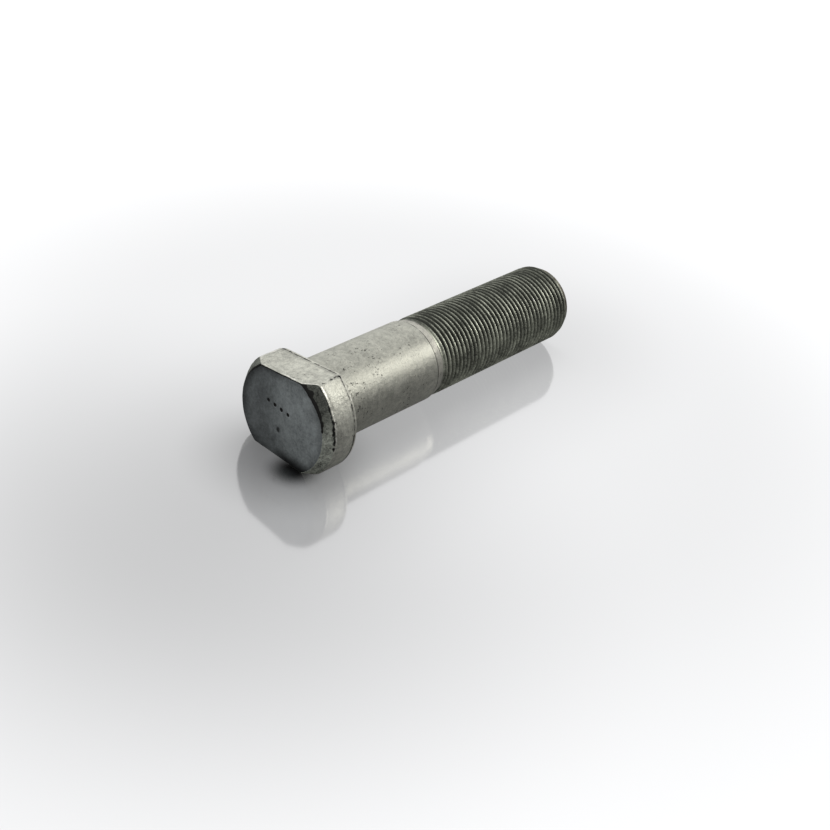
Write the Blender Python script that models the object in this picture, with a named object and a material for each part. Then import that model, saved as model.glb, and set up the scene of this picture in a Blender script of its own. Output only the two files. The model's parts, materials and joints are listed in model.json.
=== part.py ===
"""Wheel bolt of a heavy vehicle: round head with two flats, plain shank, rolled fine thread.

The bolt is drawn along its own axis, with local +X from the head's front face to the thread's end.
An empty then lays it down as it comes to rest on a floor: on its lower flat and its last crests.
The lower flat has just the draft that lets all of it touch the floor.
"""
import math

import bmesh
import bpy
import numpy as np

MM = 0.001

# Head
HEAD_DIAMETER = 32.4 * MM
HEAD_HEIGHT = 10.4 * MM
FACE_DIAMETER = 28.5 * MM
FACE_CHAMFER_DEPTH = 2.6 * MM
BEARING_EDGE_BREAK = 0.6 * MM

# Flats on the head: the distance of each from the axis, and the lower one's turn about the axis
UPPER_FLAT_DISTANCE = 12.4 * MM
LOWER_FLAT_DISTANCE = 11.4 * MM
LOWER_FLAT_TURN = math.radians(7.0)

# Shank
SHANK_DIAMETER = 22.3 * MM
SHANK_LENGTH = 34.9 * MM
UNDER_HEAD_FILLET = 1.0 * MM
SHANK_CHAMFER_LENGTH = 2.7 * MM

# Thread, right hand: the usual 60 degree form, with flat crests and roots
THREAD_DIAMETER = 21.86 * MM
THREAD_LENGTH = 54.0 * MM
PITCH = 1.5 * MM
RUN_OUT_TURNS = 2.0
TIP_CHAMFER_LENGTH = 2.4 * MM
TIP_CHAMFER_DEPTH = 1.2 * MM

# Finish: a dull silver-grey zinc flake coat
COAT_COLOUR = (0.36, 0.36, 0.325, 1.0)
COAT_ROUGHNESS = 0.42
COAT_METALLIC = 0.75

# Mesh
TURNED_SEGMENTS = 72
THREAD_SEGMENTS = 32
FILLET_STEPS = 4
CUTTER_MARGIN = 2.0 * MM
JOIN_OVERLAP = 0.4 * MM
MERGE_DISTANCE = 0.001 * MM

# Shares of one pitch: the crest's end, the root's start and the root's end, from the crest's start
CREST_END = 1 / 8
ROOT_START = 7 / 16
ROOT_END = 11 / 16

# Worked out from the sizes above
HEAD_RADIUS = HEAD_DIAMETER / 2
FACE_RADIUS = FACE_DIAMETER / 2
SHANK_RADIUS = SHANK_DIAMETER / 2
CREST_RADIUS = THREAD_DIAMETER / 2
THREAD_DEPTH = 5 / 8 * math.cos(math.radians(30)) * PITCH
ROOT_RADIUS = CREST_RADIUS - THREAD_DEPTH
BLANK_RADIUS = CREST_RADIUS - THREAD_DEPTH / 2
TIP_RADIUS = CREST_RADIUS - TIP_CHAMFER_DEPTH
SHANK_END = HEAD_HEIGHT + SHANK_LENGTH
THREAD_START = SHANK_END + SHANK_CHAMFER_LENGTH
BOLT_LENGTH = THREAD_START + THREAD_LENGTH
LAST_CREST = BOLT_LENGTH - TIP_CHAMFER_LENGTH
LOWER_FLAT_DRAFT = (LOWER_FLAT_DISTANCE - CREST_RADIUS) / (LAST_CREST - HEAD_HEIGHT)


def clear_scene():
    """Remove every object of the open scene."""
    for item in list(bpy.data.objects):
        bpy.data.objects.remove(item, do_unlink=True)


def add_object(name, verts, faces):
    """Make a mesh object, with coincident points merged and its faces turned outwards."""
    mesh = bpy.data.meshes.new(name)
    mesh.from_pydata(verts, [], faces)
    shape = bmesh.new()
    shape.from_mesh(mesh)
    bmesh.ops.remove_doubles(shape, verts=shape.verts, dist=MERGE_DISTANCE)
    bmesh.ops.recalc_face_normals(shape, faces=shape.faces)
    shape.to_mesh(mesh)
    shape.free()
    mesh.shade_smooth()
    mesh.set_sharp_from_angle(angle=math.radians(30))
    item = bpy.data.objects.new(name, mesh)
    bpy.context.collection.objects.link(item)
    return item


def as_guide(item, parent):
    """Keep a cutter or a joining shape out of the finished part."""
    item.hide_render = True
    item.display_type = 'WIRE'
    item.parent = parent
    return item


def capped_rings(rings, first_cap, last_cap):
    """Close rings of points, each with the same count, into one skin between two cap centres."""
    count = len(rings[0])
    verts = [tuple(point) for ring in rings for point in ring] + [first_cap, last_cap]
    first, last = len(verts) - 2, len(verts) - 1
    top = (len(rings) - 1) * count
    faces = []
    for j in range(count):
        k = (j + 1) % count
        faces.append((first, j, k))
        faces.append((last, top + k, top + j))
        for i in range(len(rings) - 1):
            low, high = i * count, (i + 1) * count
            faces.append((low + j, high + j, high + k, low + k))
    return verts, faces


def turned(name, profile):
    """Turn a profile of (x, radius) points about the X axis into a closed solid."""
    angle = np.arange(TURNED_SEGMENTS) * 2 * math.pi / TURNED_SEGMENTS
    rings = [np.c_[np.full(TURNED_SEGMENTS, x), radius * np.cos(angle), radius * np.sin(angle)]
             for x, radius in profile]
    verts, faces = capped_rings(rings, (profile[0][0], 0, 0), (profile[-1][0], 0, 0))
    return add_object(name, verts, faces)


def under_head_fillet():
    """Points of the hollow quarter circle between the bearing face and the shank."""
    centre_x = HEAD_HEIGHT + UNDER_HEAD_FILLET
    centre_radius = SHANK_RADIUS + UNDER_HEAD_FILLET
    points = []
    for step in range(FILLET_STEPS + 1):
        turn = math.pi / 2 * step / FILLET_STEPS
        points.append((centre_x - UNDER_HEAD_FILLET * math.cos(turn),
                       centre_radius - UNDER_HEAD_FILLET * math.sin(turn)))
    return points


def forged_blank():
    """Head and shank as one turned shape, with the chamfer that leads down to the thread."""
    slope = (SHANK_RADIUS - BLANK_RADIUS) / SHANK_CHAMFER_LENGTH
    profile = [(0, FACE_RADIUS),
               (FACE_CHAMFER_DEPTH, HEAD_RADIUS),
               (HEAD_HEIGHT - BEARING_EDGE_BREAK, HEAD_RADIUS),
               (HEAD_HEIGHT, HEAD_RADIUS - BEARING_EDGE_BREAK)]
    profile += under_head_fillet()
    profile += [(SHANK_END, SHANK_RADIUS),
                (THREAD_START + JOIN_OVERLAP, BLANK_RADIUS - slope * JOIN_OVERLAP),
                (THREAD_START + JOIN_OVERLAP, BLANK_RADIUS - JOIN_OVERLAP)]
    return turned("wheel_bolt", profile)


def flat_cutter(name, distance, draft, direction, parent):
    """A block over the head whose inner wall faces a direction.

    The wall lies at a distance from the axis at the bearing face, and further out towards the
    front face by the draft, a share of the length.
    """
    reach = HEAD_RADIUS + CUTTER_MARGIN
    corners = [(x, y, z) for x in (-CUTTER_MARGIN, HEAD_HEIGHT + UNDER_HEAD_FILLET)
               for y in (-reach, reach) for z in (distance + draft * (HEAD_HEIGHT - x), distance + reach)]
    faces = [(0, 1, 3, 2), (4, 6, 7, 5), (0, 4, 5, 1), (2, 3, 7, 6), (0, 2, 6, 4), (1, 5, 7, 3)]
    cutter = as_guide(add_object(name, corners, faces), parent)
    cutter.rotation_euler = (direction, 0, 0)
    return cutter


def thread_radius(turns, column):
    """Radius of the thread's skin, a given number of turns past its start.

    The profile is flat on the crest and the root with straight flanks. It grows out of the bare
    blank over the run-out's turns, and the cone of the tip chamfer limits it at the end.
    """
    share = np.mod(turns - column / THREAD_SEGMENTS, 1.0)
    form = np.interp(share, (0, CREST_END, ROOT_START, ROOT_END, 1),
                     (CREST_RADIUS, CREST_RADIUS, ROOT_RADIUS, ROOT_RADIUS, CREST_RADIUS))
    grown = BLANK_RADIUS + (form - BLANK_RADIUS) * np.minimum(turns / RUN_OUT_TURNS, 1.0)
    to_end = THREAD_LENGTH - turns * PITCH
    return np.minimum(grown, TIP_RADIUS + to_end * TIP_CHAMFER_DEPTH / TIP_CHAMFER_LENGTH)


def threaded_end(parent):
    """The threaded length as a closed solid, with its skin laid out along a right-hand helix.

    Row i of column j lies i profile points and j / THREAD_SEGMENTS turns along the helix, so row
    i + 4 of the first column closes the ring after the last one. Points past either end are drawn
    back to the end's ring, where they merge.
    """
    offsets = np.array((0, CREST_END, ROOT_START, ROOT_END))
    per_pitch = len(offsets)
    length_turns = THREAD_LENGTH / PITCH
    rows = per_pitch * (math.ceil(length_turns) + 2) + 1
    row = np.arange(rows)[:, None]
    column = np.arange(THREAD_SEGMENTS)[None, :]
    along = row // per_pitch + offsets[row % per_pitch] + column / THREAD_SEGMENTS - 1
    turns = np.clip(along, 0, length_turns)
    radius = thread_radius(turns, column)
    angle = np.broadcast_to(bottom_angle() + column * 2 * math.pi / THREAD_SEGMENTS, radius.shape)
    skin = np.stack((THREAD_START + turns * PITCH, radius * np.cos(angle), radius * np.sin(angle)), -1)

    start_x = SHANK_END - CUTTER_MARGIN
    start = np.c_[np.full(THREAD_SEGMENTS, start_x), BLANK_RADIUS * np.cos(angle[0]),
                  BLANK_RADIUS * np.sin(angle[0])]
    verts = [tuple(point) for point in start] + [tuple(point) for point in skin.reshape(-1, 3)]
    first_cap, last_cap = len(verts), len(verts) + 1
    verts += [(start_x, 0, 0), (BOLT_LENGTH, 0, 0)]

    def at(i, j):
        """Number of the skin's point in row i, column j, round the helix's seam too."""
        if j == THREAD_SEGMENTS:
            i, j = i + per_pitch, 0
        return THREAD_SEGMENTS * (i + 1) + j

    faces = []
    for j in range(THREAD_SEGMENTS):
        k = (j + 1) % THREAD_SEGMENTS
        faces.append((first_cap, j, k))
        faces.append((j, at(0, j), at(0, j + 1), k))
        last_row = rows - 1 if j + 1 < THREAD_SEGMENTS else rows - 1 - per_pitch
        faces += [(at(i, j), at(i + 1, j), at(i + 1, j + 1), at(i, j + 1)) for i in range(last_row)]
        faces.append((last_cap, at(last_row, j + 1), at(last_row, j)))
    return as_guide(add_object("threaded_end", verts, faces), parent)


def bottom_angle():
    """Angle about the axis that points straight down once the bolt lies on its lower flat."""
    return -math.pi / 2 + LOWER_FLAT_TURN


def combine(target, tool, operation):
    """Cut a shape out of the target, or join it on."""
    boolean = target.modifiers.new(tool.name, 'BOOLEAN')
    boolean.operation = operation
    boolean.object = tool
    boolean.solver = 'EXACT'


def coat_material():
    """The dull silver-grey coat of the whole bolt."""
    material = bpy.data.materials.new("zinc_flake_coat")
    material.use_nodes = True
    shader = material.node_tree.nodes["Principled BSDF"]
    shader.inputs["Base Color"].default_value = COAT_COLOUR
    shader.inputs["Roughness"].default_value = COAT_ROUGHNESS
    shader.inputs["Metallic"].default_value = COAT_METALLIC
    return material


def lay_down(rest, bolt):
    """Turn the lower flat to the floor, dip the thread onto it and centre the bolt over the origin."""
    rest.rotation_euler = (-LOWER_FLAT_TURN, math.atan(LOWER_FLAT_DRAFT), 0)
    bpy.context.view_layer.update()
    shape = bolt.evaluated_get(bpy.context.evaluated_depsgraph_get())
    points = np.array([shape.matrix_world @ vertex.co for vertex in shape.data.vertices])
    low, high = points.min(axis=0), points.max(axis=0)
    rest.location = (-(low[0] + high[0]) / 2, -(low[1] + high[1]) / 2, -low[2])
    bpy.context.view_layer.update()


def main():
    clear_scene()
    rest = bpy.data.objects.new("bolt_at_rest", None)
    bpy.context.collection.objects.link(rest)
    bolt = forged_blank()
    bolt.parent = rest
    bolt.data.materials.append(coat_material())
    upper = flat_cutter("upper_flat_cutter", UPPER_FLAT_DISTANCE, 0, 0, rest)
    lower = flat_cutter("lower_flat_cutter", LOWER_FLAT_DISTANCE, LOWER_FLAT_DRAFT,
                        math.pi + LOWER_FLAT_TURN, rest)
    combine(bolt, upper, 'DIFFERENCE')
    combine(bolt, lower, 'DIFFERENCE')
    combine(bolt, threaded_end(rest), 'UNION')
    lay_down(rest, bolt)


main()
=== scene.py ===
"""Looks of the wheel bolt: a fine surface, a dull zinc flake finish and a pale studio stage.

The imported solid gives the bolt's place and its flats. Every surface here is worked out in the
bolt's own frame, in metres: +X along its axis from the head's front face, +Z out of the upper flat.
"""
import json
import math

import bmesh
import bpy
import numpy as np
from bpy.props import FloatProperty, FloatVectorProperty, IntProperty, PointerProperty
from bpy.types import Operator, Panel, PropertyGroup
from mathutils import Euler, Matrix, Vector


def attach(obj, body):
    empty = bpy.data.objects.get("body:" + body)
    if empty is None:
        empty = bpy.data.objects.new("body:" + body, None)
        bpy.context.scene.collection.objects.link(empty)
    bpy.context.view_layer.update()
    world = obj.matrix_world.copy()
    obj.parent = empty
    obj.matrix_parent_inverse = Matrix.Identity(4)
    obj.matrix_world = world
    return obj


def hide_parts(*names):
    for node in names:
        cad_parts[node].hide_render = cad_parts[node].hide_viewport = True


bl_info = {
    "name": "Wheel Bolt Looks",
    "version": (1, 0, 0),
    "blender": (4, 5, 0),
    "location": "View3D > Sidebar > Wheel Bolt",
    "description": "Fine surface, finish and studio stage of a forged wheel bolt",
    "category": "Object",
}

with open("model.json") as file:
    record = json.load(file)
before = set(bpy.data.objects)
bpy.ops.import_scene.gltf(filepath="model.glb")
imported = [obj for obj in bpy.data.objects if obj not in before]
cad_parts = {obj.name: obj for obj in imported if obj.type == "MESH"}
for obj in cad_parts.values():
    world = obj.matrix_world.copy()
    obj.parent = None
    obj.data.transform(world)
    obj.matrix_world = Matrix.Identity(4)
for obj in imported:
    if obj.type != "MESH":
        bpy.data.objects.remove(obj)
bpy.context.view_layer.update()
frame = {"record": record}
MM = 0.001
# Every noise starts away from its origin, round which its octaves line up into rays
PATTERN_START = (31.7, 47.3, 19.9)
NODE = "wheel_bolt"


def mount(name):
    """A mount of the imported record, by its name."""
    return next(item for item in frame["record"]["mounts"] if item["name"] == name)


def unit(vector):
    """A vector at length 1."""
    return np.array(vector) / np.linalg.norm(vector)


# The bolt's axis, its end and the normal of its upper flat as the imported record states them
AXIS = unit(mount("thread_end")["axis"])
UPWARD = unit(mount("upper_flat")["axis"])
END_POINT = np.array(mount("thread_end")["pos_m"])
# Length under the head in millimetres, to find the flats where the head ends
UNDER_HEAD = 91.6


def read_flat(name):
    """A flat's outward line, which is the part of its normal square to the bolt's axis at length 1,
    its distance from the axis under the head in millimetres, and its draft: how far it moves out
    per unit of length towards the front face. Both are measured along the normal, and divided by
    the cosine between it and the outward line."""
    normal = np.array(mount(name)["axis"])
    outward = unit(normal - AXIS * np.dot(normal, AXIS))
    cosine = np.dot(outward, normal)
    from_axis = np.array(mount(name)["pos_m"]) - END_POINT + AXIS * UNDER_HEAD * MM
    return outward, float(np.dot(from_axis, normal) / cosine) / MM, float(np.dot(normal, AXIS) / cosine)


UPPER_LINE, UPPER_DISTANCE = read_flat("upper_flat")[:2]
LOWER_LINE, LOWER_DISTANCE, LOWER_DRAFT = read_flat("lower_flat")
# Angle by which the lower flat is out of parallel with the upper one
LOWER_TURN = math.acos(min(1.0, -float(np.dot(LOWER_LINE, UPPER_LINE))))


def number(label, text, value, **settings):
    """A number property."""
    return FloatProperty(name=label, description=text, default=value, **settings)


def length(label, text, millimetres):
    """A length property with its default given in millimetres."""
    return number(label, text, millimetres * MM, min=0.0, unit='LENGTH', precision=5)


def colour(label, text, *shade):
    """A colour property, in linear values."""
    return FloatVectorProperty(name=label, description=text, default=shade, subtype='COLOR', min=0.0, max=1.0)


def whole(label, text, value):
    """A whole number property."""
    return IntProperty(name=label, description=text, default=value)


class BoltSizes(PropertyGroup):
    """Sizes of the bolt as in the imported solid, but for the run-out, and of what is added here."""
    head_diameter: length("Head diameter", "Across the head's round side", 32.4)
    head_height: length("Head height", "From the front face to the bearing face", 10.4)
    face_diameter: length("Face diameter", "Across the front face inside its chamfer", 28.5)
    face_chamfer: length("Face chamfer depth", "Along the axis", 2.6)
    edge_break: length("Bearing edge break", "Chamfer behind the head's round side", 0.6)
    upper_flat: length("Upper flat", "Distance from the axis", UPPER_DISTANCE)
    lower_flat: length("Lower flat", "Distance from the axis at the bearing face", LOWER_DISTANCE)
    lower_draft: number("Lower flat's draft", "Outwards per unit of length to the front", LOWER_DRAFT, precision=5)
    lower_turn: number("Lower flat's turn", "Out of parallel with the upper flat", LOWER_TURN, subtype='ANGLE')
    shank_diameter: length("Shank diameter", "Across the plain shank", 22.3)
    shank_length: length("Shank length", "From the bearing face to the lead-in", 34.9)
    fillet: length("Under-head fillet", "Radius between the bearing face and the shank", 1.0)
    lead_in: length("Lead-in length", "Chamfer from the shank down to the thread", 2.7)
    thread_diameter: length("Thread diameter", "Across the crests", 21.86)
    thread_length: length("Thread length", "From the lead-in to the end", 54.0)
    pitch: length("Pitch", "From one crest to the next", 1.5)
    tip_length: length("End chamfer length", "Along the axis", 2.4)
    tip_depth: length("End chamfer depth", "Inwards from the crests", 1.2)
    run_out: number("Run-out", "Turns over which the thread grows", 1.2)
    rounding: length("Edge rounding", "Half width of the head's rounded edges", 0.26)
    unevenness: length("Forged unevenness", "How far edges and faces wander inwards", 0.09)
    chip_depth: length("Chip depth", "Depth of the knocks along the head's edges", 0.16)


class BoltDetail(PropertyGroup):
    """Fineness of the meshes."""
    blank_columns: whole("Blank columns", "Points round head and shank", 440)
    face_rows: whole("Face rows", "Rings across the front face", 96)
    thread_columns: whole("Thread columns", "Points round the thread", 176)


class BoltFinish(PropertyGroup):
    """Colours of the finish."""
    side: colour("Side", "Flats and round side of the head", 0.54, 0.54, 0.475)
    face: colour("Face", "Front face", 0.242, 0.264, 0.267)
    chamfer: colour("Chamfer", "Front chamfer", 0.30, 0.315, 0.275)
    shank: colour("Shank", "Plain shank", 0.44, 0.44, 0.385)
    lead_in: colour("Lead-in", "Chamfer between shank and thread", 0.50, 0.49, 0.43)
    thread: colour("Thread", "Crests of the thread", 0.45, 0.468, 0.385)
    valley: colour("Valley", "Roots of the thread", 0.056, 0.060, 0.050)
    soot: colour("Soot", "Dark specks and worn lines", 0.010, 0.010, 0.009)
    # this colour also paints highlights along the head's edges and glints on the thread's crests
    bare_metal_and_painted_highlights: colour("Bare metal", "Chipped edges", 0.80, 0.79, 0.73)
    rust: colour("Rust", "Thin rust at the thread's end", 0.12, 0.10, 0.066)


class StudioLook(PropertyGroup):
    """The stage's floor, lamps and camera."""
    floor: colour("Floor", "The floor's own colour", 0.12, 0.12, 0.123)
    floor_glow: number("Floor glow", "Pale level the camera sees", 0.48)
    mirrored_glow: number("Mirrored glow", "Share of the glow that metal mirrors", 0.32)
    bounced_glow: number("Bounced glow", "Share of the glow that lights the bolt", 0.41)
    sky: number("Sky", "Level of the surrounding light", 0.16)
    overhead: number("Overhead lamp", "Power", 7.2, unit='POWER')
    side_lamp: number("Side lamp", "Power", 7.5, unit='POWER')
    fill_lamp: number("Fill lamp", "Power", 1.2, unit='POWER')
    lens: number("Lens", "Focal length for a 36 mm sensor", 64.1, subtype='DISTANCE_CAMERA')


def bolt_length():
    """Overall length along the axis."""
    sizes = bpy.context.scene.bolt_sizes
    return sizes.head_height + sizes.shank_length + sizes.lead_in + sizes.thread_length


def to_row(points):
    """Carry points of shape (..., 3) from the bolt's own frame into the row's frame."""
    side = np.cross(UPWARD, AXIS)
    turn = np.stack((AXIS, side, np.cross(AXIS, side)))
    return points @ turn + END_POINT - AXIS * bolt_length()


def random_field(points, grain, seed, waves=24):
    """A smooth random field, about -1 to 1: the sum of plane waves with random directions,
    lengths near the grain size and random phases, divided by the root of twice their number."""
    rng = np.random.default_rng(seed)
    directions = rng.normal(size=(waves, 3))
    directions /= np.linalg.norm(directions, axis=1, keepdims=True)
    rates = 2 * math.pi / (grain * rng.uniform(0.7, 1.8, size=(waves, 1)))
    phases = rng.uniform(0, 2 * math.pi, size=waves)
    return np.cos(points @ (directions * rates).T + phases).sum(axis=-1) / math.sqrt(2 * waves)


def turned(x, radius, angle):
    """Points at places along the axis, distances from it and angles round it."""
    return np.stack(np.broadcast_arrays(x, radius * np.cos(angle), radius * np.sin(angle)), -1)


def soft_least(first, second, width):
    """The lesser of two values, with the corner between them rounded off over a width: the lesser
    less a quarter of the width times the square of how near the two are, from 0 to 1."""
    near = np.clip(1 - np.abs(first - second) / width, 0, 1)
    return np.minimum(first, second) - near ** 2 * width / 4


def fade(value, low, high):
    """A smooth step from 0 at low to 1 at high: three times the square less twice the cube."""
    share = np.clip((value - low) / (high - low), 0, 1)
    return share * share * (3 - 2 * share)


def patches(points, grain, seed):
    """A smooth random field from 0 to 1."""
    return 0.5 + 0.5 * np.clip(random_field(points, grain, seed), -1, 1)


def towards(angle, degrees, low, high):
    """A smooth share of the way round, from 0 where the cosine of the angle from a direction is low
    to 1 where it is high. Degrees run from the bolt's left side over its top."""
    return fade(np.cos(angle - math.radians(degrees)), low, high)


def bell(value, width):
    """A bell curve: one at 0, and one over e at a width from it."""
    return np.exp(-(value / width) ** 2)


def lower_flat_at(x):
    """The lower flat's distance from the axis, which grows by its draft towards the front face."""
    sizes = bpy.context.scene.bolt_sizes
    return sizes.lower_flat + sizes.lower_draft * (sizes.head_height - x)


def flat_reach(angle, x=0.0):
    """Distance from the axis to the nearer flat along each angle, at a place along the axis: the
    flat's distance there over the cosine of the angle from its normal, and far away where the ray
    never meets it."""
    sizes = bpy.context.scene.bolt_sizes
    least_cosine, reaches = 0.05, []
    for distance, turn in ((sizes.upper_flat, -math.pi / 2), (lower_flat_at(x), math.pi / 2 - sizes.lower_turn)):
        cosine = np.cos(angle + turn)
        reach = distance / np.maximum(cosine, least_cosine)
        reaches.append(np.where(cosine > least_cosine, reach, 10 * sizes.head_diameter))
    return np.minimum(*reaches)


def towards_lower_flat(place):
    """How far each point lies from the axis towards the lower flat."""
    turn = bpy.context.scene.bolt_sizes.lower_turn
    return place[..., 1] * math.sin(turn) - place[..., 2] * math.cos(turn)


def head_angles(count):
    """Angles round the axis, set closer together where the flats meet the round side and the
    face's edge. The spacing follows one over a density with a peak at each such angle."""
    sizes = bpy.context.scene.bolt_sizes
    fine = np.linspace(-math.pi, math.pi, 20001)
    reach = flat_reach(fine)
    density = np.ones_like(fine)
    for radius in (sizes.head_diameter / 2, sizes.face_diameter / 2):
        density += 3.0 * bell(reach - radius, 0.5 * MM)
    amount = np.concatenate(((0,), np.cumsum((density[1:] + density[:-1]) / 2)))
    steps = np.arange(count) * amount[-1] / count
    return np.interp(steps, amount, fine)


def thread_depth():
    """Depth of a 60 degree thread with its usual flats: five eighths of the sharp triangle."""
    return 5 / 8 * math.cos(math.radians(30)) * bpy.context.scene.bolt_sizes.pitch


def blank_radius():
    """Radius of the bare blank the thread is rolled on."""
    return (bpy.context.scene.bolt_sizes.thread_diameter - thread_depth()) / 2


FILLET_POINTS = 7
# The corners where the blank's parts end, by their number in its outline
FACE, CHAMFER, SIDE, BEARING = 1, 2, 3, 4
FILLET = BEARING + FILLET_POINTS
SHANK, LEAD_IN, HIDDEN = FILLET + 1, FILLET + 2, FILLET + 3


def blank_outline(angle):
    """Corners of the forged blank's outline at each angle, as arrays of (x, radius).

    In order: the pole, the face's edge, the chamfer's outer edge, the two corners of the bearing
    edge break, the under-head fillet as points of a quarter circle, the shank's end, the lead-in's
    end, and the hidden end inside the thread. Each radius on the head is limited by the flats.
    """
    sizes = bpy.context.scene.bolt_sizes
    face_radius = sizes.face_diameter / 2
    head_radius = sizes.head_diameter / 2
    shank_radius = sizes.shank_diameter / 2

    def limited(radius, x):
        """A radius on the head limited by the flats, with the corner between them rounded."""
        return soft_least(radius, flat_reach(angle, x), 2 * sizes.rounding)

    rise = np.clip((limited(head_radius, 0) - face_radius) / (head_radius - face_radius), 0, 1)
    chamfer_x = sizes.face_chamfer * rise
    break_x = sizes.head_height - sizes.edge_break
    corners = [(0, 0), (0, limited(face_radius, 0)), (chamfer_x, limited(head_radius, chamfer_x)),
               (break_x, limited(head_radius, break_x)),
               (sizes.head_height, limited(head_radius - sizes.edge_break, sizes.head_height))]
    for step in range(FILLET_POINTS):
        turn = math.pi / 2 * step / (FILLET_POINTS - 1)
        x = sizes.head_height + sizes.fillet * (1 - math.cos(turn))
        radius = shank_radius + sizes.fillet * (1 - math.sin(turn))
        corners.append((x, np.minimum(radius, flat_reach(angle, x))))
    shank_end = sizes.head_height + sizes.shank_length
    thread_start = shank_end + sizes.lead_in
    hidden_end = thread_start + 0.4 * MM
    corners += [(shank_end, shank_radius), (thread_start, blank_radius() - 0.03 * MM),
                (hidden_end, blank_radius() - 1.5 * MM), (hidden_end, 0)]
    return np.array([np.stack(np.broadcast_arrays(*pair, angle)[:2], -1) for pair in corners])


def along_outline(corners, distance):
    """Points at given distances along each outline: the first corner, plus each edge times the
    share of it that lies before the distance."""
    point = np.repeat(corners[0][None], len(distance), 0)
    start = np.zeros(corners.shape[1])
    for first, second in zip(corners[:-1], corners[1:]):
        span = np.maximum(np.linalg.norm(second - first, axis=-1), 1e-9)
        share = np.clip((distance - start) / span, 0, 1)
        point = point + share[..., None] * (second - first)
        start = start + span
    return point


def blank_rows(corners, face_rows):
    """Distance along the outline and rounding of each row, and the distance of each corner.

    Each zone runs from a little before one corner to a little past the next, in equal steps, so
    no row falls on another where the flats cut an edge away.
    """
    wide = bpy.context.scene.bolt_sizes.rounding
    narrow = 0.15 * MM
    spans = np.linalg.norm(np.diff(corners, axis=0), axis=-1)
    reach = np.concatenate((np.zeros((1, spans.shape[1])), np.cumsum(spans, axis=0)))
    borders = [reach[corner] + past for corner, past in (
        (0, 0), (FACE, -1.5 * wide), (CHAMFER, 1.5 * wide), (SIDE, -1.3 * MM),
        (SIDE, -2 * narrow), (BEARING, 2 * narrow), (FILLET, 2 * narrow),
        (SHANK, -2 * narrow), (SHANK, 2 * narrow), (LEAD_IN, 0), (HIDDEN, 0))]
    counts = (face_rows, 26, 12, 8, 10, 14, 18, 6, 5, 3)
    windows = (0, wide, 0, 0, narrow, 0.06 * MM, 0, narrow, 0, 0)
    distance, window = [], []
    for low, high, count, window_here in zip(borders[:-1], borders[1:], counts, windows):
        distance.append(low + np.arange(count)[:, None] / count * (high - low))
        window += [window_here] * count
    distance.append(borders[-1][None])
    window.append(0.0)
    return np.concatenate(distance)[1:], np.array(window)[1:], reach


def averaged(value_at, reach, count):
    """The mean of what a function gives at even offsets up to a reach each side."""
    return sum(value_at(offset) for offset in np.linspace(-reach, reach, count)) / count


def rounded_outline(corners, distance, window):
    """The outline averaged over a window each side of every distance, which rounds its corners and
    leaves its straight stretches as they are."""
    return averaged(lambda offset: along_outline(corners, distance + offset * window[:, None]), 1, 9)


def punch_marks(y, z):
    """Depth of the plain punch marks on the front face, 0 to 1: a slanting row of four round dots
    and one wider, shallower dimple. Each is one less the square of the distance over its radius."""
    marks = [(4.6 - 2.3 * step, 3.4 - 0.5 * step, 0.75, 1.0) for step in range(4)] + [(1.2, -3.6, 1.5, 0.6)]
    depth = np.zeros_like(y)
    for mark_y, mark_z, radius, deepest in marks:
        far = np.hypot(y - mark_y * MM, z - mark_z * MM) / (radius * MM)
        depth = np.maximum(depth, deepest * np.clip(1 - far ** 2, 0, 1))
    return depth


def new_object(name, data):
    """A new object in the scene."""
    item = bpy.data.objects.new(name, data)
    bpy.context.scene.collection.objects.link(item)
    return item


def new_mesh(name, points, faces, materials, zones=None):
    """A smooth mesh object at the origin from numpy points and faces, with a material per face."""
    mesh = bpy.data.meshes.new(name)
    mesh.from_pydata(points.tolist(), [], faces)
    for material in materials:
        mesh.materials.append(material)
    if zones is not None:
        mesh.polygons.foreach_set("material_index", np.asarray(zones, dtype=np.int32))
    mesh.shade_smooth()
    mesh.update()
    return new_object(name, mesh)


def store(mesh, name, values):
    """Keep one number or one vector per point as an attribute of the mesh."""
    vector = values.ndim == 2
    attribute = mesh.attributes.new(name, 'FLOAT_VECTOR' if vector else 'FLOAT', 'POINT')
    attribute.data.foreach_set("vector" if vector else "value", values.astype(np.float32).ravel())


def dress(item):
    """Bind a finished piece to the frame."""
    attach(item, "root")
    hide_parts(NODE)


def new_group(name, inputs, outputs):
    """A shader node group: its tree, inputs and outputs. An input is a place if it has no default,
    or else a number or a colour as its default is, and only the output Colour is a colour."""
    tree = bpy.data.node_groups.new(name, 'ShaderNodeTree')
    for label, default in inputs.items():
        kind = 'Vector' if default is None else 'Float' if isinstance(default, float) else 'Color'
        socket = tree.interface.new_socket(label, in_out='INPUT', socket_type='NodeSocket' + kind)
        if default is not None:
            socket.default_value = default
    for label in outputs:
        kind = 'Color' if label == 'Colour' else 'Float'
        tree.interface.new_socket(label, in_out='OUTPUT', socket_type='NodeSocket' + kind)
    return tree, tree.nodes.new('NodeGroupInput').outputs, tree.nodes.new('NodeGroupOutput').inputs


def feed(tree, sockets, values):
    """Link node outputs to sockets, or set the sockets to numbers or colours, by name or number."""
    for key, value in values.items():
        if isinstance(value, bpy.types.NodeSocket):
            tree.links.new(value, sockets[key])
        elif sockets[key].type == 'RGBA':
            sockets[key].default_value = (*value[:3], 1.0)
        else:
            sockets[key].default_value = value


def node(tree, kind, inputs=None, **settings):
    """Add a shader node, set its properties, and link or set its inputs by name or number."""
    made = tree.nodes.new('ShaderNode' + kind)
    for key, value in settings.items():
        setattr(made, key, value)
    feed(tree, made.inputs, inputs or {})
    return made


def maths(tree, operation, *values, clamp=False):
    """The output of Math nodes that join values from the first to the last."""
    total = values[0]
    for value in values[1:]:
        made = node(tree, 'Math', {0: total, 1: value}, operation=operation, use_clamp=clamp)
        total = made.outputs[0]
    return total


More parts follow.
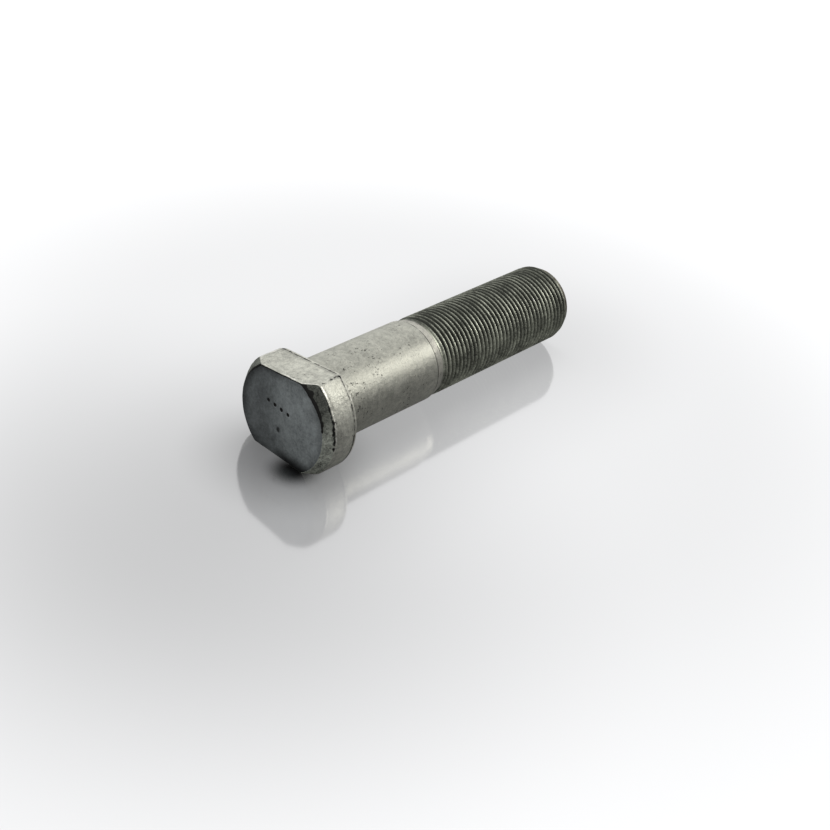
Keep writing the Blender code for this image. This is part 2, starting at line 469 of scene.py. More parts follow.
def times(tree, *values, clamp=False):
    """A product."""
    return maths(tree, 'MULTIPLY', *values, clamp=clamp)


def plus(tree, *values, clamp=False):
    """A sum."""
    return maths(tree, 'ADD', *values, clamp=clamp)


def less(tree, *values):
    """The first value less all others."""
    return maths(tree, 'SUBTRACT', *values)


def vectors(tree, operation, first, second, output='Vector'):
    """A Vector Math node's output."""
    return node(tree, 'VectorMath', {0: first, 1: second}, operation=operation).outputs[output]


def between(tree, value, low, high, new_low=0.0, new_high=1.0):
    """Map a range of values smoothly onto another, with its ends held."""
    return node(tree, 'MapRange',
                {'Value': value, 'From Min': low, 'From Max': high, 'To Min': new_low, 'To Max': new_high},
                interpolation_type='SMOOTHSTEP').outputs['Result']


def centred(tree, value, amount):
    """A noise less its middle value, times an amount."""
    return times(tree, less(tree, value, 0.5), amount)


def noise(tree, place, scale, detail=3.0, roughness=0.6):
    """A noise texture's value at a place."""
    return node(tree, 'TexNoise', {'Vector': place, 'Scale': scale, 'Detail': detail,
                                             'Roughness': roughness}).outputs['Fac']


def wave(tree, place, scale, detail, roughness, spread):
    """A noise texture's value, spread over -1 to 1."""
    return between(tree, noise(tree, place, scale, detail, roughness), 0.5 - spread, 0.5 + spread, -1.0, 1.0)


def blend(tree, factor, first, second, kind='FLOAT', sockets=(0, 2, 3, 0)):
    """A Mix node's output. The sockets are its factor, its two values and its output."""
    made = node(tree, 'Mix', data_type=kind, clamp_factor=True)
    feed(tree, made.inputs, dict(zip(sockets, (factor, first, second))))
    return made.outputs[sockets[3]]


def blend_colours(tree, factor, first, second):
    """A Mix node's colour output."""
    return blend(tree, factor, first, second, 'RGBA', (0, 6, 7, 2))


def scaled(tree, shade, factor):
    """A colour times a factor."""
    return node(tree, 'VectorMath', {0: shade, 'Scale': factor}, operation='SCALE').outputs[0]


def coat_group():
    """Zinc flake coat from a place in millimetres: cloudy patches, a blotchy grain, streaks along the
    bolt, and ragged dark pits that gather in clusters. Cloud, Grain and Streak are shares of the
    colour, and Pits runs from 0, none, to 2, half sooty."""
    tree, given, out = new_group(
        "zinc_flake_coat",
        {"Place": None, "Colour": (0.5, 0.5, 0.46, 1), "Soot": (0.02, 0.02, 0.02, 1), "Cloud": 0.08, "Grain": 0.1,
         "Streak": 0.0, "Pits": 0.3, "Roughness": 0.4},
        ("Colour", "Roughness", "Height", "Soot"))
    place, pits = given['Place'], given['Pits']
    clouds = wave(tree, place, 0.17, 4.0, 0.6, 0.14)
    blotches = wave(tree, place, 0.75, 3.0, 0.65, 0.16)
    fine = wave(tree, place, 2.6, 2.0, 0.7, 0.16)
    grain = times(tree, plus(tree, blotches, fine), 0.6)
    streaks = wave(tree, vectors(tree, 'MULTIPLY', place, (0.12, 1.3, 1.3)), 1.0, 3.0, 0.6, 0.14)
    level = plus(tree, 1.0, times(tree, clouds, given['Cloud']), times(tree, grain, given['Grain']),
                 times(tree, streaks, given['Streak']))
    ragged = noise(tree, place, 1.2, 4.0, 0.8)
    crowded = between(tree, noise(tree, place, 0.15, 2.0, 0.5), 0.40, 0.66, 0.0, 0.09)
    gate = less(tree, 0.70, crowded, times(tree, pits, 0.045))
    pit = times(tree, between(tree, less(tree, ragged, gate), 0.0, 0.05), pits, clamp=True)
    rough = plus(tree, given['Roughness'], times(tree, grain, 0.05), times(tree, clouds, 0.03),
                 times(tree, pit, 0.2), clamp=True)
    lumps = plus(tree, times(tree, blotches, 0.35), times(tree, fine, 0.2))
    shade = blend_colours(tree, pit, scaled(tree, given['Colour'], level), given['Soot'])
    feed(tree, out, {'Colour': shade, 'Roughness': rough, 'Height': less(tree, lumps, times(tree, pit, 0.6)),
                     'Soot': pit})


def turning_group():
    """Fine turning marks: a noise that changes fast along the axis and barely round it."""
    tree, given, out = new_group("turning_marks", {"Place": None, "Strength": 0.1}, ("Factor", "Height"))
    lines = noise(tree, vectors(tree, 'MULTIPLY', given['Place'], (4.0, 0.05, 0.05)), 1.0, 4.0, 0.75)
    slow = noise(tree, given['Place'], 0.12, 1.0)
    marks = centred(tree, lines, times(tree, given['Strength'], between(tree, slow, 0.3, 0.7, 0.4, 1.3)))
    feed(tree, out, {'Factor': plus(tree, marks, 1.0), 'Height': marks})


def edge_group():
    """Edge wear, and painted highlights where a mask holds them: a mask along an edge, broken into long
    stretches and frayed by finer noise, lays a paint over a colour."""
    tree, given, out = new_group(
        "edge_wear_and_painted_highlights",
        {"Place": None, "Colour": (0.5, 0.5, 0.5, 1), "Paint": (0.02, 0.02, 0.02, 1), "Mask": 0.0, "Scale": 1.0,
         "Break": 1.0},
        ("Colour", "Amount"))
    place, mask = given['Place'], given['Mask']
    stretches = centred(tree, noise(tree, place, times(tree, given['Scale'], 0.28), 1.0),
                        times(tree, given['Break'], 0.8))
    frayed = centred(tree, noise(tree, place, times(tree, given['Scale'], 1.5), 3.0, 0.7),
                     times(tree, given['Break'], 0.7))
    amount = between(tree, plus(tree, mask, stretches, frayed), 0.38, 0.66)
    amount = times(tree, amount, between(tree, mask, 0.05, 0.3))
    shade = blend_colours(tree, amount, given['Colour'], given['Paint'])
    feed(tree, out, {'Colour': shade, 'Amount': amount})


def place_group(tree, name, inputs):
    """Put a shared group into a material."""
    return node(tree, 'Group', inputs, node_tree=bpy.data.node_groups[name]).outputs


def attribute(tree, name, output):
    """An attribute of the mesh as a node output."""
    return node(tree, 'Attribute', attribute_name=name).outputs[output]


def new_material(name):
    """A material, its node tree and its shader."""
    material = bpy.data.materials.new(name)
    material.use_nodes = True
    return material, material.node_tree, material.node_tree.nodes["Principled BSDF"]


def finish_material(name, shade, roughness, metallic, cloud=0.08, grain=0.1, streak=0.0, pits=0.25,
                    turning=0.0, bump=0.25, edges=()):
    """A material of the bolt: the coat, its tone and painted shading from point to point, turning marks where it is
    turned, then worn edges, some of which are painted highlights. An edge is its mask, scale and raggedness, and
    its colour and how metallic it is unless it is soot."""
    finish = bpy.context.scene.bolt_finish
    material, tree, shader = new_material(name)
    place = attribute(tree, "own_place", 'Vector')
    coat = place_group(tree, "zinc_flake_coat", {
        "Place": place, "Colour": shade, "Soot": finish.soot, "Cloud": cloud, "Grain": grain,
        "Streak": streak, "Pits": pits, "Roughness": roughness})
    # the coat's colour times its tone, which holds painted shading from point to point
    shade, height = scaled(tree, coat['Colour'], attribute(tree, "tone_and_painted_shading", 'Fac')), coat['Height']
    if turning:
        marks = place_group(tree, "turning_marks", {"Place": place, "Strength": turning})
        shade = scaled(tree, shade, marks['Factor'])
        height = plus(tree, height, marks['Height'])
    metal = blend(tree, coat['Soot'], metallic, 0.0)
    for mask, scale, ragged, *other in edges:
        paint, metal_there = other or (finish.soot, 0.0)
        # some masks lay painted highlights rather than wear
        worn = place_group(tree, "edge_wear_and_painted_highlights", {
            "Place": place, "Colour": shade, "Paint": paint, "Mask": attribute(tree, mask, 'Fac'),
            "Scale": scale, "Break": ragged})
        shade = worn['Colour']
        metal = blend(tree, worn['Amount'], metal, metal_there)
    bumped = node(tree, 'Bump', {'Strength': bump, 'Distance': 0.08 * MM, 'Height': height})
    feed(tree, shader.inputs, {'Base Color': shade, 'Roughness': coat['Roughness'], 'Metallic': metal,
                               'Normal': bumped.outputs['Normal'], 'Specular IOR Level': 0.12})
    return material


def blank_materials():
    """Finishes of the face, chamfer, side, shank and lead-in, in the order of the zones."""
    finish = bpy.context.scene.bolt_finish
    face_line, outer_line, crease = ("face_line", 0.6, 1.2), ("outer_line", 2.4, 1.7), ("crease_line", 3.4, 1.5)
    chips_and_painted_highlights, end_line = ("chips_and_painted_highlights", 0.9, 1.3, finish.bare_metal_and_painted_highlights, 0.4), ("shank_line", 1.0, 0.7)
    return [
        finish_material("head_face", finish.face, 0.46, 0.18, cloud=0.15, grain=0.15, streak=0.08, pits=0.4,
                        bump=0.4, edges=(face_line, ("punch", 2.0, 0.5))),
        finish_material("face_chamfer", finish.chamfer, 0.55, 0.15, cloud=0.25, grain=0.4, streak=0.15, pits=1.2,
                        bump=0.9, edges=(face_line, outer_line, chips_and_painted_highlights)),
        finish_material("head_side", finish.side, 0.43, 0.20, cloud=0.14, grain=0.24, streak=0.04, pits=0.6,
                        bump=0.6, edges=(outer_line, crease, chips_and_painted_highlights)),
        finish_material("shank_coat", finish.shank, 0.42, 0.20, cloud=0.07, grain=0.20, pits=0.95, turning=0.4,
                        bump=0.4, edges=(crease, end_line)),
        finish_material("lead_in_coat", finish.lead_in, 0.34, 0.35, cloud=0.12, grain=0.2, pits=0.5, turning=0.4,
                        bump=0.3, edges=(end_line,)),
    ]


def thread_material():
    """Finish of the thread: grey crests over nearly black valleys."""
    finish = bpy.context.scene.bolt_finish
    # the glints are partly random wear and partly painted highlights on the crests
    material = finish_material("thread_coat", finish.thread, 0.40, 0.38, cloud=0.34, grain=0.40, pits=0.9, bump=0.3,
                               edges=(("wear_and_painted_glints", 1.2, 1.2, finish.bare_metal_and_painted_highlights, 0.6), ("rust", 0.8, 0.9, finish.rust, 0.0)))
    tree = material.node_tree
    shader = tree.nodes["Principled BSDF"]
    shade = shader.inputs['Base Color'].links[0].from_socket
    metal = shader.inputs['Metallic'].links[0].from_socket
    raised = between(tree, attribute(tree, "crest", 'Fac'), 0.5, 1.05)
    feed(tree, shader.inputs, {'Base Color': blend_colours(tree, raised, finish.valley, shade),
                               'Metallic': blend(tree, raised, 0.0, metal)})
    return material


def blank_masks(sizes, angle, distance, reach, place):
    """Where wear, marks and painted highlights go, 0 to 1 at each point, and the coat's tone with its painted
    shading.

    A line along an edge is a bell curve of the distance from it, times a smooth share of the
    way round or a random field, which breaks it up. Chips are the high spots of a random field
    near the head's outer edges; their mask also holds bright lines along the round side's back
    edge, the upper left crease and the face's upper edge, which are painted highlights. The tone
    with its painted shading is a product of smooth steps round and across.
    """
    broken, wide = patches(place, 3.2 * MM, 21), patches(place, 2.0 * MM, 23)
    right, rim_right = towards(angle, 180, -0.2, 0.2), towards(angle, 180, 0.55, 0.8)
    upper, near_corner = towards(angle, 90, 0.2, 0.8), towards(angle, 142, 0.74, 0.94)
    upper_left, upper_right = towards(angle, 42, 0.9, 1.0), towards(angle, 152, 0.45, 0.85)
    knocked, lower_right = towards(angle, 183, 0.86, 1.0), towards(angle, 195, 0.35, 0.85)

    def line(corner, width, past=0.0):
        """A bell curve round a place past a corner of the outline, both in millimetres."""
        return bell(distance - reach[corner] - past * MM, width * MM)

    face_width = 0.26 + 0.20 * upper + 0.50 * near_corner * wide
    face_line = line(FACE, face_width, face_width * 0.6 * near_corner - 0.14 * upper)
    face_line = face_line * (0.28 + 0.50 * upper + 0.60 * near_corner)

    outer_line = np.maximum(line(CHAMFER, 0.36, -0.22) * (0.56 + 0.24 * broken),
                            line(CHAMFER, 0.9) * (0.1 + 0.12 * lower_right + 0.42 * knocked))
    outer_line = outer_line * (1 - towards(angle, 250, 0.35, 0.85)) * (0.2 + 0.8 * right)

    crease = bell(flat_reach(angle, place[..., 0]) - sizes.head_diameter / 2, 0.42 * MM)
    beside = (distance > reach[CHAMFER] + 0.3 * MM) & (distance < reach[BEARING])
    crease = np.where(beside, crease, 0)
    along = crease * (0.45 + 0.1 * wide + 0.08 * fade(place[..., 0], 4 * MM, 9 * MM)) * (0.3 + 0.7 * right)
    back = line(SIDE, 0.23, -(0.1 + 0.55 * rim_right)) * (0.5 + 0.4 * fade(broken, 0.2, 0.8))
    # the fillet's line darkens the corner under the head, partly painted shade and partly dirt
    crease_line = np.maximum.reduce((along, back, line(FILLET, 0.5, -0.4) * 0.42))

    knocks = 0.5 * fade(random_field(place, 1.1 * MM, 11), 0.3, 1.0)
    knocks = knocks + np.maximum(0.6 * upper_right, 0.5 * upper_left)
    cut = towards(angle, 90, 0.3, 0.7) * (flat_reach(angle) < sizes.face_diameter / 2)
    chips_and_painted_highlights = np.maximum.reduce((
        knocks * line(CHAMFER, 0.22, 0.40),
        # painted highlights: bright lines along the round side's back edge, the upper left crease and the face's
        # upper edge, where rounded edges catch the light
        (0.4 + 0.3 * wide) * rim_right * line(SIDE, 0.17, -0.1),
        0.6 * crease * (1 - right) * upper,
        0.62 * cut * line(FACE, 0.26, 0.45)))

    shank_line = np.maximum.reduce((
        line(SHANK, 0.17, -0.1) * (0.5 + 0.4 * broken),
        0.62 * line(SHANK, 0.12, 1.55),
        0.75 * line(LEAD_IN, 0.35, -0.1),
        0.52 * line(SHANK, 0.16, -6.2) * fade(broken, 0.2, 0.6)))
    punch = np.where(distance < reach[FACE], punch_marks(place[..., 1], place[..., 2]), 0)
    return {"face_line": face_line, "outer_line": outer_line, "chips_and_painted_highlights": chips_and_painted_highlights, "punch": punch,
            "crease_line": crease_line, "shank_line": shank_line,
            "tone_and_painted_shading": blank_tone_and_painted_shade(sizes, angle, distance, reach, place)}


def blank_tone_and_painted_shade(sizes, angle, distance, reach, place):
    """How light the coat is at each point, 1 where it is plain.

    The face darkens towards its upper left, near its rim and at its lowest edge, where the head
    meets the floor, all painted shade; the chamfer is sooty at the upper right and clears on the
    way down; the side is a little darker just behind the chamfer's edge, and painted shade darkens
    a band before the bearing edge break, which turns from the light.
    """
    y, z = place[..., 1], place[..., 2]
    near_flat = towards_lower_flat(place) - sizes.lower_flat
    rim = reach[FACE] - distance
    # painted shade: the face is lighter towards its right and darker towards its upper left, its bottom and its rim
    face = 0.60 + 0.66 * fade(-y, -9 * MM, 6 * MM) - 0.16 * fade(-z, 3 * MM, 11 * MM)
    # painted shade at the face's lowest edge, where the head meets the floor
    painted_shade_at_lowest_edge = fade(-y, -5 * MM, 2 * MM) * fade(near_flat, -4.0 * MM, -0.4 * MM)
    face = face * (1 - 0.92 * painted_shade_at_lowest_edge) * (0.66 + 0.34 * fade(rim, 0, 2.4 * MM))
    face = face * (1 - 0.45 * towards(angle, 40, 0.3, 0.9) * fade(-rim, -3.2 * MM, 0))
    chamfer = (1.55 - 1.2 * towards(angle, 132, 0.62, 0.99)) * (1 - 0.72 * towards(angle, 42, 0.68, 0.96))
    side = 1 - 0.12 * bell(distance - reach[CHAMFER], 1.2 * MM)
    # painted shade on the band before the bearing edge break, which turns from the light
    side = side - 0.30 * bell(distance - reach[SIDE] + 0.6 * MM, 0.42 * MM)
    zones = [distance < reach[FACE], distance < reach[CHAMFER], distance <= reach[BEARING]]
    return np.select(zones, [face, chamfer, side], 1.0)


def wear_down(sizes, distance, reach, place, x, radius, masks):
    """Forged unevenness and knocks, all inwards.

    Each point of the head moves in by uneven fields and the chips' depth, along the axis on the
    face and towards it elsewhere. The lower flat stays as it is, so that the bolt lies on it.
    """
    uneven = patches(place, 7 * MM, 3) * sizes.unevenness
    fine = patches(place, 1.6 * MM, 5) * sizes.unevenness * 0.6
    head = distance < reach[BEARING]
    edges = np.maximum(bell(distance - reach[CHAMFER], 0.8 * MM),
                       bell(distance - reach[FACE], 0.6 * MM))
    above = lower_flat_at(place[..., 0]) - towards_lower_flat(place)
    free = 1 - fade(1 - np.clip(above / (0.1 * MM), 0, 1), 0.3, 1.0)
    inward = ((uneven * 0.35 + fine * edges) * head + masks["chips_and_painted_highlights"] * sizes.chip_depth) * free
    on_face = fade(reach[FACE] - distance, 0.0, 0.6 * MM)
    punch_depth_mm = 0.26
    sunk = masks["punch"] * punch_depth_mm * MM + on_face * (uneven * 0.5)
    return x + sunk, radius - inward * (1 - on_face)


class BOLT_OT_blank(Operator):
    """Make the forged head and shank as one closed surface"""
    bl_idname = "wheel_bolt.blank"
    bl_label = "Forged head and shank"

    def execute(self, context):
        sizes, detail = context.scene.bolt_sizes, context.scene.bolt_detail
        angle = head_angles(detail.blank_columns)
        corners = blank_outline(angle)
        distance, window, reach = blank_rows(corners, detail.face_rows)
        outline = rounded_outline(corners, distance, window)
        x, radius = outline[..., 0], outline[..., 1]
        smooth = turned(x, radius, angle)
        masks = blank_masks(sizes, angle, distance, reach, smooth)
        x, radius = wear_down(sizes, distance, reach, smooth, x, radius, masks)
        own = turned(x, radius, angle)
        rows, columns = x.shape
        points = np.concatenate((own.reshape(-1, 3), ((own[0, 0, 0], 0, 0), (own[-1, 0, 0], 0, 0))))
        faces, zones = ring_faces(rows, columns, finish_of_quads(distance, reach))
        item = new_mesh("forged_blank", to_row(points), faces, blank_materials(), zones)
        store(item.data, "own_place", points / MM + PATTERN_START)
        for name, values in masks.items():
            values = np.broadcast_to(values, x.shape)
            store(item.data, name, np.concatenate((values.ravel(), (values[0].mean(), values[-1].mean()))))
        dress(item)
        return {'FINISHED'}


def finish_of_quads(distance, reach):
    """Material number of the quads between two rows: face, chamfer, side, shank or lead-in."""
    middle = (distance[:-1] + distance[1:]) / 2
    zone = np.zeros(middle.shape, dtype=int)
    for corner in (FACE, CHAMFER, BEARING + 1, SHANK):
        zone += middle > reach[corner]
    return zone


def ring_faces(rows, columns, numbers):
    """Quads between rings of points and fans to the two poles, which are the last two points."""
    i, j = np.meshgrid(np.arange(rows - 1), np.arange(columns), indexing='ij')
    k = (j + 1) % columns
    quads = np.stack((i * columns + j, (i + 1) * columns + j, (i + 1) * columns + k, i * columns + k), -1)
    pole, last = rows * columns, (rows - 1) * columns
    near = [(pole, j, (j + 1) % columns) for j in range(columns)]
    far = [(pole + 1, last + (j + 1) % columns, last + j) for j in range(columns)]
    return quads.reshape(-1, 4).tolist() + near + far, np.append(numbers, np.repeat(numbers[[0, -1], 0], columns))


def thread_form(share):
    """Height of the thread's profile, 0 at the root and 1 at the crest, over one pitch: flats an
    eighth and a quarter of a pitch wide joined by straight flanks, with soft corners from averaging
    over a window of a sixteenth of a pitch each side."""
    corners, heights = (0, 1 / 8, 7 / 16, 11 / 16, 1), (1, 1, 0, 0, 1)
    return averaged(lambda offset: np.interp(np.mod(share + offset, 1.0), corners, heights), 1 / 16, 7)


def thread_masks(sizes, own, start, crest):
    """How near each point is to the crests, where wear, painted glints and rust lie, and the coat's tone with its
    painted shading.

    The crest's share is the height over the root below the end's chamfer, evened out towards
    the underside and the end, which paints light into the valleys there. The tone is a sum of
    shares of the way round and along: a painted highlight where the highlight falls, painted shade
    on top and near the end, and painted light below.
    """
    from_end = bolt_length() - own[:, 0]
    from_axis = np.hypot(own[:, 1], own[:, 2])
    angle = np.arctan2(own[:, 2], own[:, 1])
    end_radius = crest - sizes.tip_depth
    limit = np.minimum(crest, end_radius + from_end * sizes.tip_depth / sizes.tip_length)
    height = np.clip(1 - (limit - from_axis) / thread_depth(), 0, 1)
    along = (own[:, 0] - start) / sizes.pitch
    turned_by = (angle - sizes.lower_turn + math.pi / 2) / (2 * math.pi)
    started = 1 - fade(along, sizes.run_out, sizes.run_out + 1.0)
    early = 1 - fade(along, 0, 0.8) * (1 - thread_form(along - turned_by))
    height = height + (early - height) * started
    at_end = from_end < 0.05 * MM
    height[at_end] = 0.97

    # painted highlight where the highlight falls, painted shade on top and near the end, and painted light below
    painted_highlight_side, painted_shade_on_top = towards(angle, 134, 0.85, 1.0), towards(angle, 75, 0.5, 1.0)
    painted_light_below = towards(angle, 194, 0.45, 1.0)
    painted_shade_near_end = fade(-from_end, -11 * MM, -3 * MM)
    # painted light: the valleys take more of the crests' colour towards the underside and the end
    painted_light_evened = np.maximum(0.62 * painted_light_below, 0.3 * painted_shade_near_end)
    worn = fade(random_field(own, 2.4 * MM, 31), 0.35, 1.0)
    # painted glints: a band of bare crests where the highlight falls, about 13 mm from the end
    painted_glint_zone = bell(from_end - 13 * MM, 4 * MM) * painted_highlight_side
    ridges = random_field(own * (1, 0.2, 0.2), 1.3 * MM, 41)
    tone_and_painted_shading = (1.0 + 0.15 * painted_highlight_side - 0.5 * painted_shade_on_top + 0.02 * painted_light_below + 0.14 * ridges) * (1 - 0.38 * painted_shade_near_end)
    rust = 0.60 * fade(-from_end, -1.2 * sizes.tip_length, -0.4 * sizes.tip_length)
    return {"crest": height + (1 - height) * painted_light_evened,
            "wear_and_painted_glints": fade(height, 0.6, 0.95) * (0.08 * worn + (0.25 + 0.4 * worn) * painted_glint_zone),
            "tone_and_painted_shading": tone_and_painted_shading * (0.75 + 0.25 * fade(sizes.thread_length - from_end, 0.2 * MM, 2.4 * MM)),
            "rust": np.where(at_end & (from_axis < 0.98 * end_radius), 0.34, rust)}


class BOLT_OT_thread(Operator):
    """Roll the right-hand thread as one closed surface"""
    bl_idname = "wheel_bolt.thread"
    bl_label = "Rolled thread"

    def execute(self, context):
        sizes = context.scene.bolt_sizes
        columns = context.scene.bolt_detail.thread_columns
        per_pitch = np.array((0.0, 1 / 16, 1 / 8, 0.2, 0.28, 0.36, 7 / 16, 0.5, 9 / 16, 0.625, 11 / 16, 0.77, 0.85,
                              0.93))
        count = len(per_pitch)
        turns_long = sizes.thread_length / sizes.pitch
        rows = count * (math.ceil(turns_long) + 2) + 1
        row = np.arange(rows)[:, None]
        column = np.arange(columns)[None, :]
        along = row // count + per_pitch[row % count] + column / columns - 1
        turns = np.clip(along, 0, turns_long)
        crest = sizes.thread_diameter / 2
        root = crest - thread_depth()
        form = root + thread_form(turns - column / columns) * thread_depth()
        grown = blank_radius() + (form - blank_radius()) * fade(turns, 0.0, sizes.run_out)
        to_end = sizes.thread_length - turns * sizes.pitch
        cone = crest - sizes.tip_depth + to_end * sizes.tip_depth / sizes.tip_length
        radius = soft_least(grown, cone, 0.3 * MM)
        angle = sizes.lower_turn - math.pi / 2 + column * 2 * math.pi / columns
        start = sizes.head_height + sizes.shank_length + sizes.lead_in
        skin = turned(start + turns * sizes.pitch, radius, angle)
        hidden_x = start - 1.0 * MM
        hidden = turned(hidden_x, blank_radius() - 0.05 * MM, angle[0])
        rings = np.array((0.988, 0.96, 0.6, 0.3))[:, None]
        end_face = turned(bolt_length(), (crest - sizes.tip_depth) * rings, angle[0])
        points = np.concatenate((hidden, skin.reshape(-1, 3), ((hidden_x, 0, 0), (bolt_length(), 0, 0)),
                                 end_face.reshape(-1, 3)))
        faces = helix_faces(rows, columns, count, len(rings))
        item = new_mesh("rolled_thread", points, faces, [thread_material()])
        close_ends(item.data)
        own = np.zeros(len(item.data.vertices) * 3, dtype=np.float32)
        item.data.vertices.foreach_get("co", own)
        own = own.reshape(-1, 3).astype(float)
        item.data.vertices.foreach_set("co", to_row(own).astype(np.float32).ravel())
        store(item.data, "own_place", own / MM + PATTERN_START)
        for name, values in thread_masks(sizes, own, start, crest).items():
            store(item.data, name, values)
        item.data.update()
        dress(item)
        return {'FINISHED'}


def close_ends(mesh):
    """Merge the points that were drawn back to the two ends, and turn the faces outwards."""
    shape = bmesh.new()
    shape.from_mesh(mesh)
    bmesh.ops.remove_doubles(shape, verts=shape.verts, dist=0.0005 * MM)
    bmesh.ops.recalc_face_normals(shape, faces=shape.faces)
    shape.to_mesh(mesh)
    shape.free()
    mesh.shade_smooth()


def helix_faces(rows, columns, per_turn, end_rings):
    """Quads of a skin laid along a helix: past the last column a row goes on in the first column,
    one turn's rows further on. The hidden start ring comes first, then the skin, the two poles and
    the rings of the end's face from its edge inwards."""
    def vertex(i, j):
        wrapped = j == columns
        return columns + (i + per_turn * wrapped) * columns + (0 if wrapped else j)

    faces = []
    first_pole = columns * (rows + 1)
    first_ring = first_pole + 2
    last_ring = first_ring + (end_rings - 1) * columns
    for j in range(columns):
        last = rows - 1 if j + 1 < columns else rows - 1 - per_turn
        i = np.arange(last)
        faces += np.stack((vertex(i, j), vertex(i + 1, j), vertex(i + 1, j + 1), vertex(i, j + 1)), -1).tolist()
        k = (j + 1) % columns
        faces.append((first_pole, j, k))
        faces.append((j, vertex(0, j), vertex(0, j + 1), k))
        faces.append((vertex(last, j), vertex(last, j + 1), first_ring + k, first_ring + j))
        for ring in range(first_ring, last_ring, columns):
            faces.append((ring + j, ring + k, ring + columns + k, ring + columns + j))
        faces.append((first_pole + 1, last_ring + j, last_ring + k))
    return faces


def floor_material():
    """Pale glossy floor: its own grey takes light and shadow, and the camera sees a glow added, and
    the bolt a share of it. The glow is weaker in front of the head and close to the bolt, a painted
    shade and shadow, by the distance from a spot there, from the line under it and from the head's
    foot. It ends where the head touches the floor, where a painted contact shadow darkens the
    floor's own grey too, and rises to white far away."""
    look = bpy.context.scene.studio_look
    material, tree, shader = new_material("studio_floor")
    rays = node(tree, 'LightPath').outputs
    seen = maths(tree, 'MAXIMUM', rays['Is Camera Ray'], rays['Is Transmission Ray'],
                 times(tree, rays['Is Glossy Ray'], look.mirrored_glow),
                 times(tree, rays['Is Diffuse Ray'], look.bounced_glow))
    place = node(tree, 'TexCoord').outputs['Object']
    line_end, line_start = (0.045, 0.0, 0.0), (-0.045, 0.0, 0.0)
    nearest = vectors(tree, 'MAXIMUM', vectors(tree, 'MINIMUM', place, line_end), line_start)

    def by_distance(spot, *ends):
        """A level that goes from one value to another between two distances from a spot."""
        return between(tree, vectors(tree, 'DISTANCE', place, spot, 'Value'), *ends)

    # painted shade and shadows on the floor: the glow is dimmed in front of the head, under the bolt, at the head's
    # foot and at the contact
    painted_shade_in_front = by_distance((-0.100, -0.012, 0.0), 0.0, 0.12, 0.62, 1.19)
    far_off = by_distance((0.0, 0.0, 0.0), 0.08, 0.17, 1.0, 1.3)
    painted_shadow_under_bolt = by_distance(nearest, 0.0, 0.055, 0.74, 1.0)
    painted_shadow_at_foot = by_distance((-0.050, 0.0, 0.0), 0.004, 0.028, 0.46, 1.0)
    painted_contact_shadow = by_distance((-0.0520, -0.0065, 0.0), 0.0015, 0.0085, 0.0, 1.0)
    glow = times(tree, seen, look.floor_glow, painted_shade_in_front, far_off, painted_shadow_under_bolt, painted_shadow_at_foot, painted_contact_shadow)
    # the painted contact shadow darkens the floor's own grey too
    shade = scaled(tree, look.floor, between(tree, painted_contact_shadow, 0.0, 0.8, 0.1, 1.0))
    feed(tree, shader.inputs, {'Base Color': shade, 'Roughness': 0.09, 'IOR': 2.7,
                               'Emission Color': (0.985, 0.99, 1.0), 'Emission Strength': glow})
    return material


def add_lamp(name, place, target, size, power, tint=(1.0, 1.0, 1.0), mirrored=False):
    """A square area lamp that faces a target, and shows in mirroring surfaces or not."""
    data = bpy.data.lights.new(name, 'AREA')
    data.size = size
    data.energy = power
    data.color = tint
    item = new_object(name, data)
    item.location = place
    item.rotation_euler = (Vector(target) - Vector(place)).to_track_quat('-Z', 'Y').to_euler()
    item.visible_glossy = mirrored
    return item


def set_surround(scene, look):
    """Soft even light from all round, which the camera sees as white, and so does a mirroring
    surface, but not light that was scattered or mirrored before."""
    world = bpy.data.worlds.new("studio")
    scene.world = world
    world.use_nodes = True
    tree = world.node_tree
    rays = node(tree, 'LightPath').outputs
    seen = maths(tree, 'MAXIMUM', rays['Is Camera Ray'], rays['Is Glossy Ray'], rays['Is Transmission Ray'])
    scattered = plus(tree, times(tree, rays['Diffuse Depth'], 2.0), rays['Glossy Depth'])
    seen = times(tree, seen, maths(tree, 'LESS_THAN', scattered, 1.5))
    level = plus(tree, look.sky, times(tree, seen, 1.0 - look.sky))
    feed(tree, tree.nodes["Background"].inputs, {'Strength': level, 'Color': (1.0, 1.0, 1.0)})


def set_camera(scene, look):
    """The photograph's view: from in front of the head and to its right, looking down."""
    data = bpy.data.cameras.new("photo_camera")
    data.sensor_width = 36.0
    data.lens = look.lens
    item = new_object("photo_camera", data)
    item.location = (-0.26475, -0.20852, 0.21621)
    item.rotation_euler = Euler([math.radians(angle) for angle in (56.026, -7.232, -47.045)], 'XYZ')
    scene.camera = item
    scene.view_settings.view_transform = 'Standard'


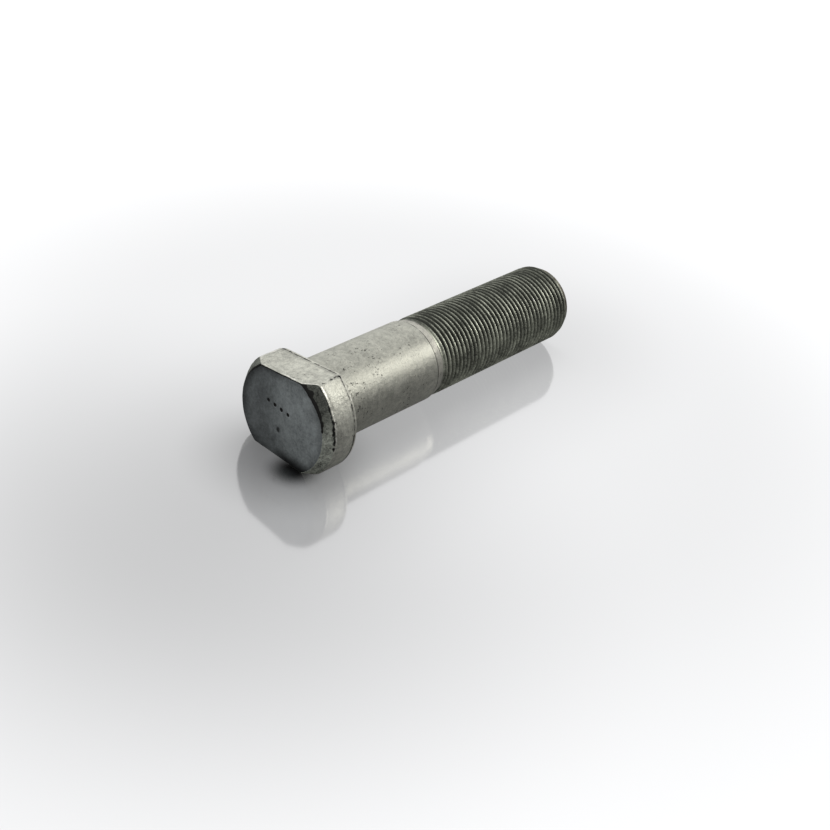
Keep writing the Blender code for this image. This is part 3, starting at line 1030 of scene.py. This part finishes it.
class BOLT_OT_stage(Operator):
    """Set the floor, the surround, the lamps and the camera"""
    bl_idname = "wheel_bolt.stage"
    bl_label = "Studio stage"

    def execute(self, context):
        look = context.scene.studio_look
        half_width = 3.0
        points = half_width * np.array(((-1, -1, 0), (1, -1, 0), (1, 1, 0), (-1, 1, 0)))
        floor = new_mesh("floor", points, [(0, 1, 2, 3)], [floor_material()])
        set_surround(context.scene, look)
        add_lamp("overhead", (0.26, 0.32, 0.84), (0, 0, 0), 0.7, look.overhead)
        side = add_lamp("side", (0.64, -0.47, 0.50), (0, 0, 0.01), 0.42, look.side_lamp, (1.0, 0.98, 0.93), True)
        side.visible_diffuse = False
        unlit = bpy.data.collections.new("not_lit_by_side_lamp")
        unlit.objects.link(floor)
        unlit.collection_objects[0].light_linking.link_state = 'EXCLUDE'
        side.light_linking.receiver_collection = unlit
        add_lamp("fill", (-0.70, 0.20, 0.30), (0, 0, 0), 0.5, look.fill_lamp)
        set_camera(context.scene, look)
        return {'FINISHED'}


class BOLT_PT_panel(Panel):
    """Sidebar panel with the bolt's pieces and their values"""
    bl_idname = "BOLT_PT_panel"
    bl_label = "Wheel Bolt"
    bl_space_type = 'VIEW_3D'
    bl_region_type = 'UI'
    bl_category = "Wheel Bolt"

    def draw(self, context):
        for name in GROUPS:
            group = getattr(context.scene, name)
            box = self.layout.box()
            for key in type(group).__annotations__:
                box.prop(group, key)
        for operator in OPERATORS:
            self.layout.operator(operator.bl_idname)


GROUPS = {"bolt_sizes": BoltSizes, "bolt_detail": BoltDetail, "bolt_finish": BoltFinish, "studio_look": StudioLook}
OPERATORS = (BOLT_OT_blank, BOLT_OT_thread, BOLT_OT_stage)


def register():
    """Register every class and hang the value groups on the scene."""
    for item in (*GROUPS.values(), *OPERATORS, BOLT_PT_panel):
        bpy.utils.register_class(item)
    for name, group in GROUPS.items():
        setattr(bpy.types.Scene, name, PointerProperty(type=group))


def unregister():
    """Take the value groups off the scene and unregister every class."""
    for name in GROUPS:
        delattr(bpy.types.Scene, name)
    for item in reversed((*GROUPS.values(), *OPERATORS, BOLT_PT_panel)):
        bpy.utils.unregister_class(item)


def main():
    """Register the classes, build the shared effects, every piece and the stage."""
    register()
    for group in (coat_group, turning_group, edge_group):
        group()
    bpy.ops.wheel_bolt.blank()
    bpy.ops.wheel_bolt.thread()
    bpy.ops.wheel_bolt.stage()


if __name__ == "__main__":
    main()
